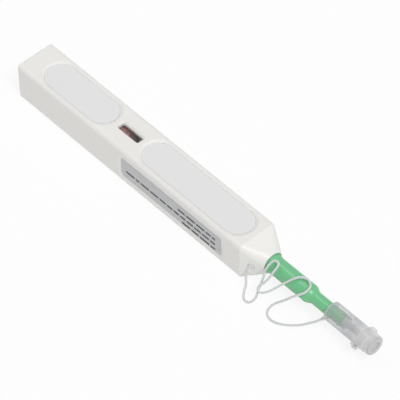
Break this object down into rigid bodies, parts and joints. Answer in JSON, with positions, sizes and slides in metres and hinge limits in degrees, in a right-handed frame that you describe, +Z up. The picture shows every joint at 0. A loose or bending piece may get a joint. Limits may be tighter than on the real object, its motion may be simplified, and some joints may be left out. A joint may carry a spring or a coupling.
{
  "type": "fibre connector cleaning pen",
  "caption": "Slim push-action pen that cleans fibre connector end faces: rectangular case, sliding green nozzle with hidden tape reels, tethered guide cap with flip lid.",
  "frame": {"origin": "middle of the pen's length and width, on the flat underside of the case", "axes": "+X along the pen to the cleaning tip, +Z up out of the face with the finger panels and window, -Y out of the side with the label"},
  "size_m": [0.226, 0.0296, 0.0206],
  "materials": {
    "case": "fine satin",
    "panel": "fine texture",
    "window": "clear",
    "label": "matt film",
    "carriage": "moulded",
    "nozzle": "moulded, slight gloss",
    "guide": "moulded",
    "drum": "moulded",
    "thread": "fine woven",
    "steel": "drawn wire",
    "cap": "translucent, satin",
    "tether": "soft, translucent"
  },
  "bodies": {
    "case": {"case_shell": "case", "bottom_cover": "case", "rear_finger_panel": "panel", "front_finger_panel": "panel", "window_pane": "window", "side_label": "label", "tether_plug": "tether", "tether": "tether"},
    "carriage": {"carriage_frame": "carriage", "nozzle_shell": "nozzle", "guide_tube": "guide", "takeup_axle": "steel", "supply_axle": "steel", "return_spring": "steel"},
    "head": {"head_shaft": "guide", "tip_thread": "thread"},
    "takeup": {"takeup_reel": "drum", "drive_gear": "drum"},
    "supply": {"supply_reel": "guide", "tape_roll": "thread"},
    "cap": {"guide_cap": "cap"},
    "lid": {"cap_lid": "cap"}
  },
  "joints": [
    {"name": "push_slide", "type": "slide", "parent": "case", "child": "carriage", "axis": [1, 0, 0], "range_m": [-0.012, 0], "stiffness_N_per_m": 300, "springref_m": 0.006, "deforming": ["return_spring", "tether"]},
    {"name": "head_spin", "type": "hinge", "parent": "carriage", "child": "head", "pos_m": [0, 0, 0.0103], "axis": [1, 0, 0], "range_deg": [-180.5, 0]},
    {"name": "takeup_spin", "type": "hinge", "parent": "carriage", "child": "takeup", "pos_m": [-0.0544, 0, 0.0103], "axis": [0, 1, 0], "range_deg": [-172.5, 0]},
    {"name": "supply_spin", "type": "hinge", "parent": "carriage", "child": "supply", "pos_m": [-0.0382, 0, 0.0103], "axis": [0, 1, 0], "range_deg": [-159.5, 0]},
    {"name": "cap_slide", "type": "slide", "parent": "carriage", "child": "cap", "axis": [1, 0, 0], "range_m": [0, 0.035], "deforming": ["tether"]},
    {"name": "lid_hinge", "type": "hinge", "parent": "cap", "child": "lid", "pos_m": [0.10505, -0.0052, 0.0073], "axis": [0, 0.5, -0.866], "range_deg": [0, 120]}
  ],
  "couplings": [
    {"joint": "head_spin", "follows": "push_slide", "rad_per_m": 261.8},
    {"joint": "takeup_spin", "follows": "push_slide", "rad_per_m": 250},
    {"joint": "supply_spin", "follows": "push_slide", "rad_per_m": 230.77}
  ]
}
